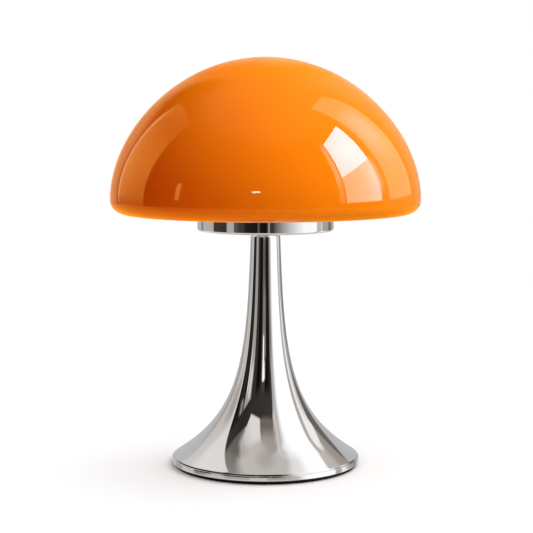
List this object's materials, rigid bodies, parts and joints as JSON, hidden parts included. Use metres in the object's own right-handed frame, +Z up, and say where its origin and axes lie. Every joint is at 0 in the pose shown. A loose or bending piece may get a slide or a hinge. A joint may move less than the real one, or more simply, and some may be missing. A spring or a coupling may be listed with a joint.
{
  "type": "mushroom table lamp",
  "caption": "Table lamp with a domed glass shade resting loose in a gallery cup on a weighted trumpet foot, with a screw-in bulb inside.",
  "frame": {"origin": "on the floor under the lamp's axis", "axes": "+Z up along the lamp's axis, -Y is the front, +Y the back where the mains cord enters"},
  "size_m": [0.3028, 0.3028, 0.4],
  "materials": {
    "orange_glass": "glossy opaque orange glass",
    "chrome": "mirror-polished chrome",
    "zinc_steel": "zinc-plated steel",
    "cast_iron": "black-painted casting",
    "black_rubber": "matt",
    "black_plastic": "satin",
    "white_plastic": "natural",
    "lead_jacket": "soft PVC",
    "silicone": "translucent silicone",
    "holder_plastic": "moulded, glossy",
    "porcelain": "unglazed",
    "brass": "pressed",
    "solder": "solder",
    "nickel_cap": "rolled thread",
    "bulb_plastic": "white, satin gloss",
    "board": "white solder mask",
    "opal": "frosted opal"
  },
  "bodies": {
    "stand": {"foot_ring": "black_rubber", "base_pan": "chrome", "pan_screws": "zinc_steel", "foot_shell": "chrome", "cord_gland": "black_plastic", "ballast": "cast_iron", "ballast_washer": "zinc_steel", "ballast_nut": "zinc_steel", "terminal_block": "white_plastic", "terminal_screws": "brass", "block_screw": "zinc_steel", "inner_lead": "lead_jacket", "threaded_tube": "zinc_steel", "neck_spacer": "chrome", "gallery_cup": "chrome", "gallery_washer": "zinc_steel", "gallery_nut": "zinc_steel", "shade_seat": "silicone", "holder_cap": "holder_plastic", "holder_sleeve": "holder_plastic", "holder_core": "porcelain", "holder_screws": "brass", "screw_shell": "brass", "centre_contact": "brass"},
    "shade": {"shade": "orange_glass"},
    "bulb_contact": {"bulb_tip": "solder"},
    "bulb": {"bulb_insulator": "black_plastic", "bulb_cap": "nickel_cap", "bulb_housing": "bulb_plastic", "bulb_board": "board", "bulb_globe": "opal"}
  },
  "joints": [
    {"name": "shade_lift", "type": "slide", "parent": "stand", "child": "shade", "axis": [0, 0, 1], "range_m": [0, 0.15]},
    {"name": "bulb_rise", "type": "slide", "parent": "stand", "child": "bulb_contact", "axis": [0, 0, 1], "range_m": [0, 0.0091]},
    {"name": "bulb_turn", "type": "hinge", "parent": "bulb_contact", "child": "bulb", "pos_m": [0, 0, 0.29], "axis": [0, 0, 1], "range_deg": [0, 900]}
  ],
  "couplings": [
    {"joint": "bulb_rise", "follows": "bulb_turn", "m_per_rad": 0.0005775}
  ]
}
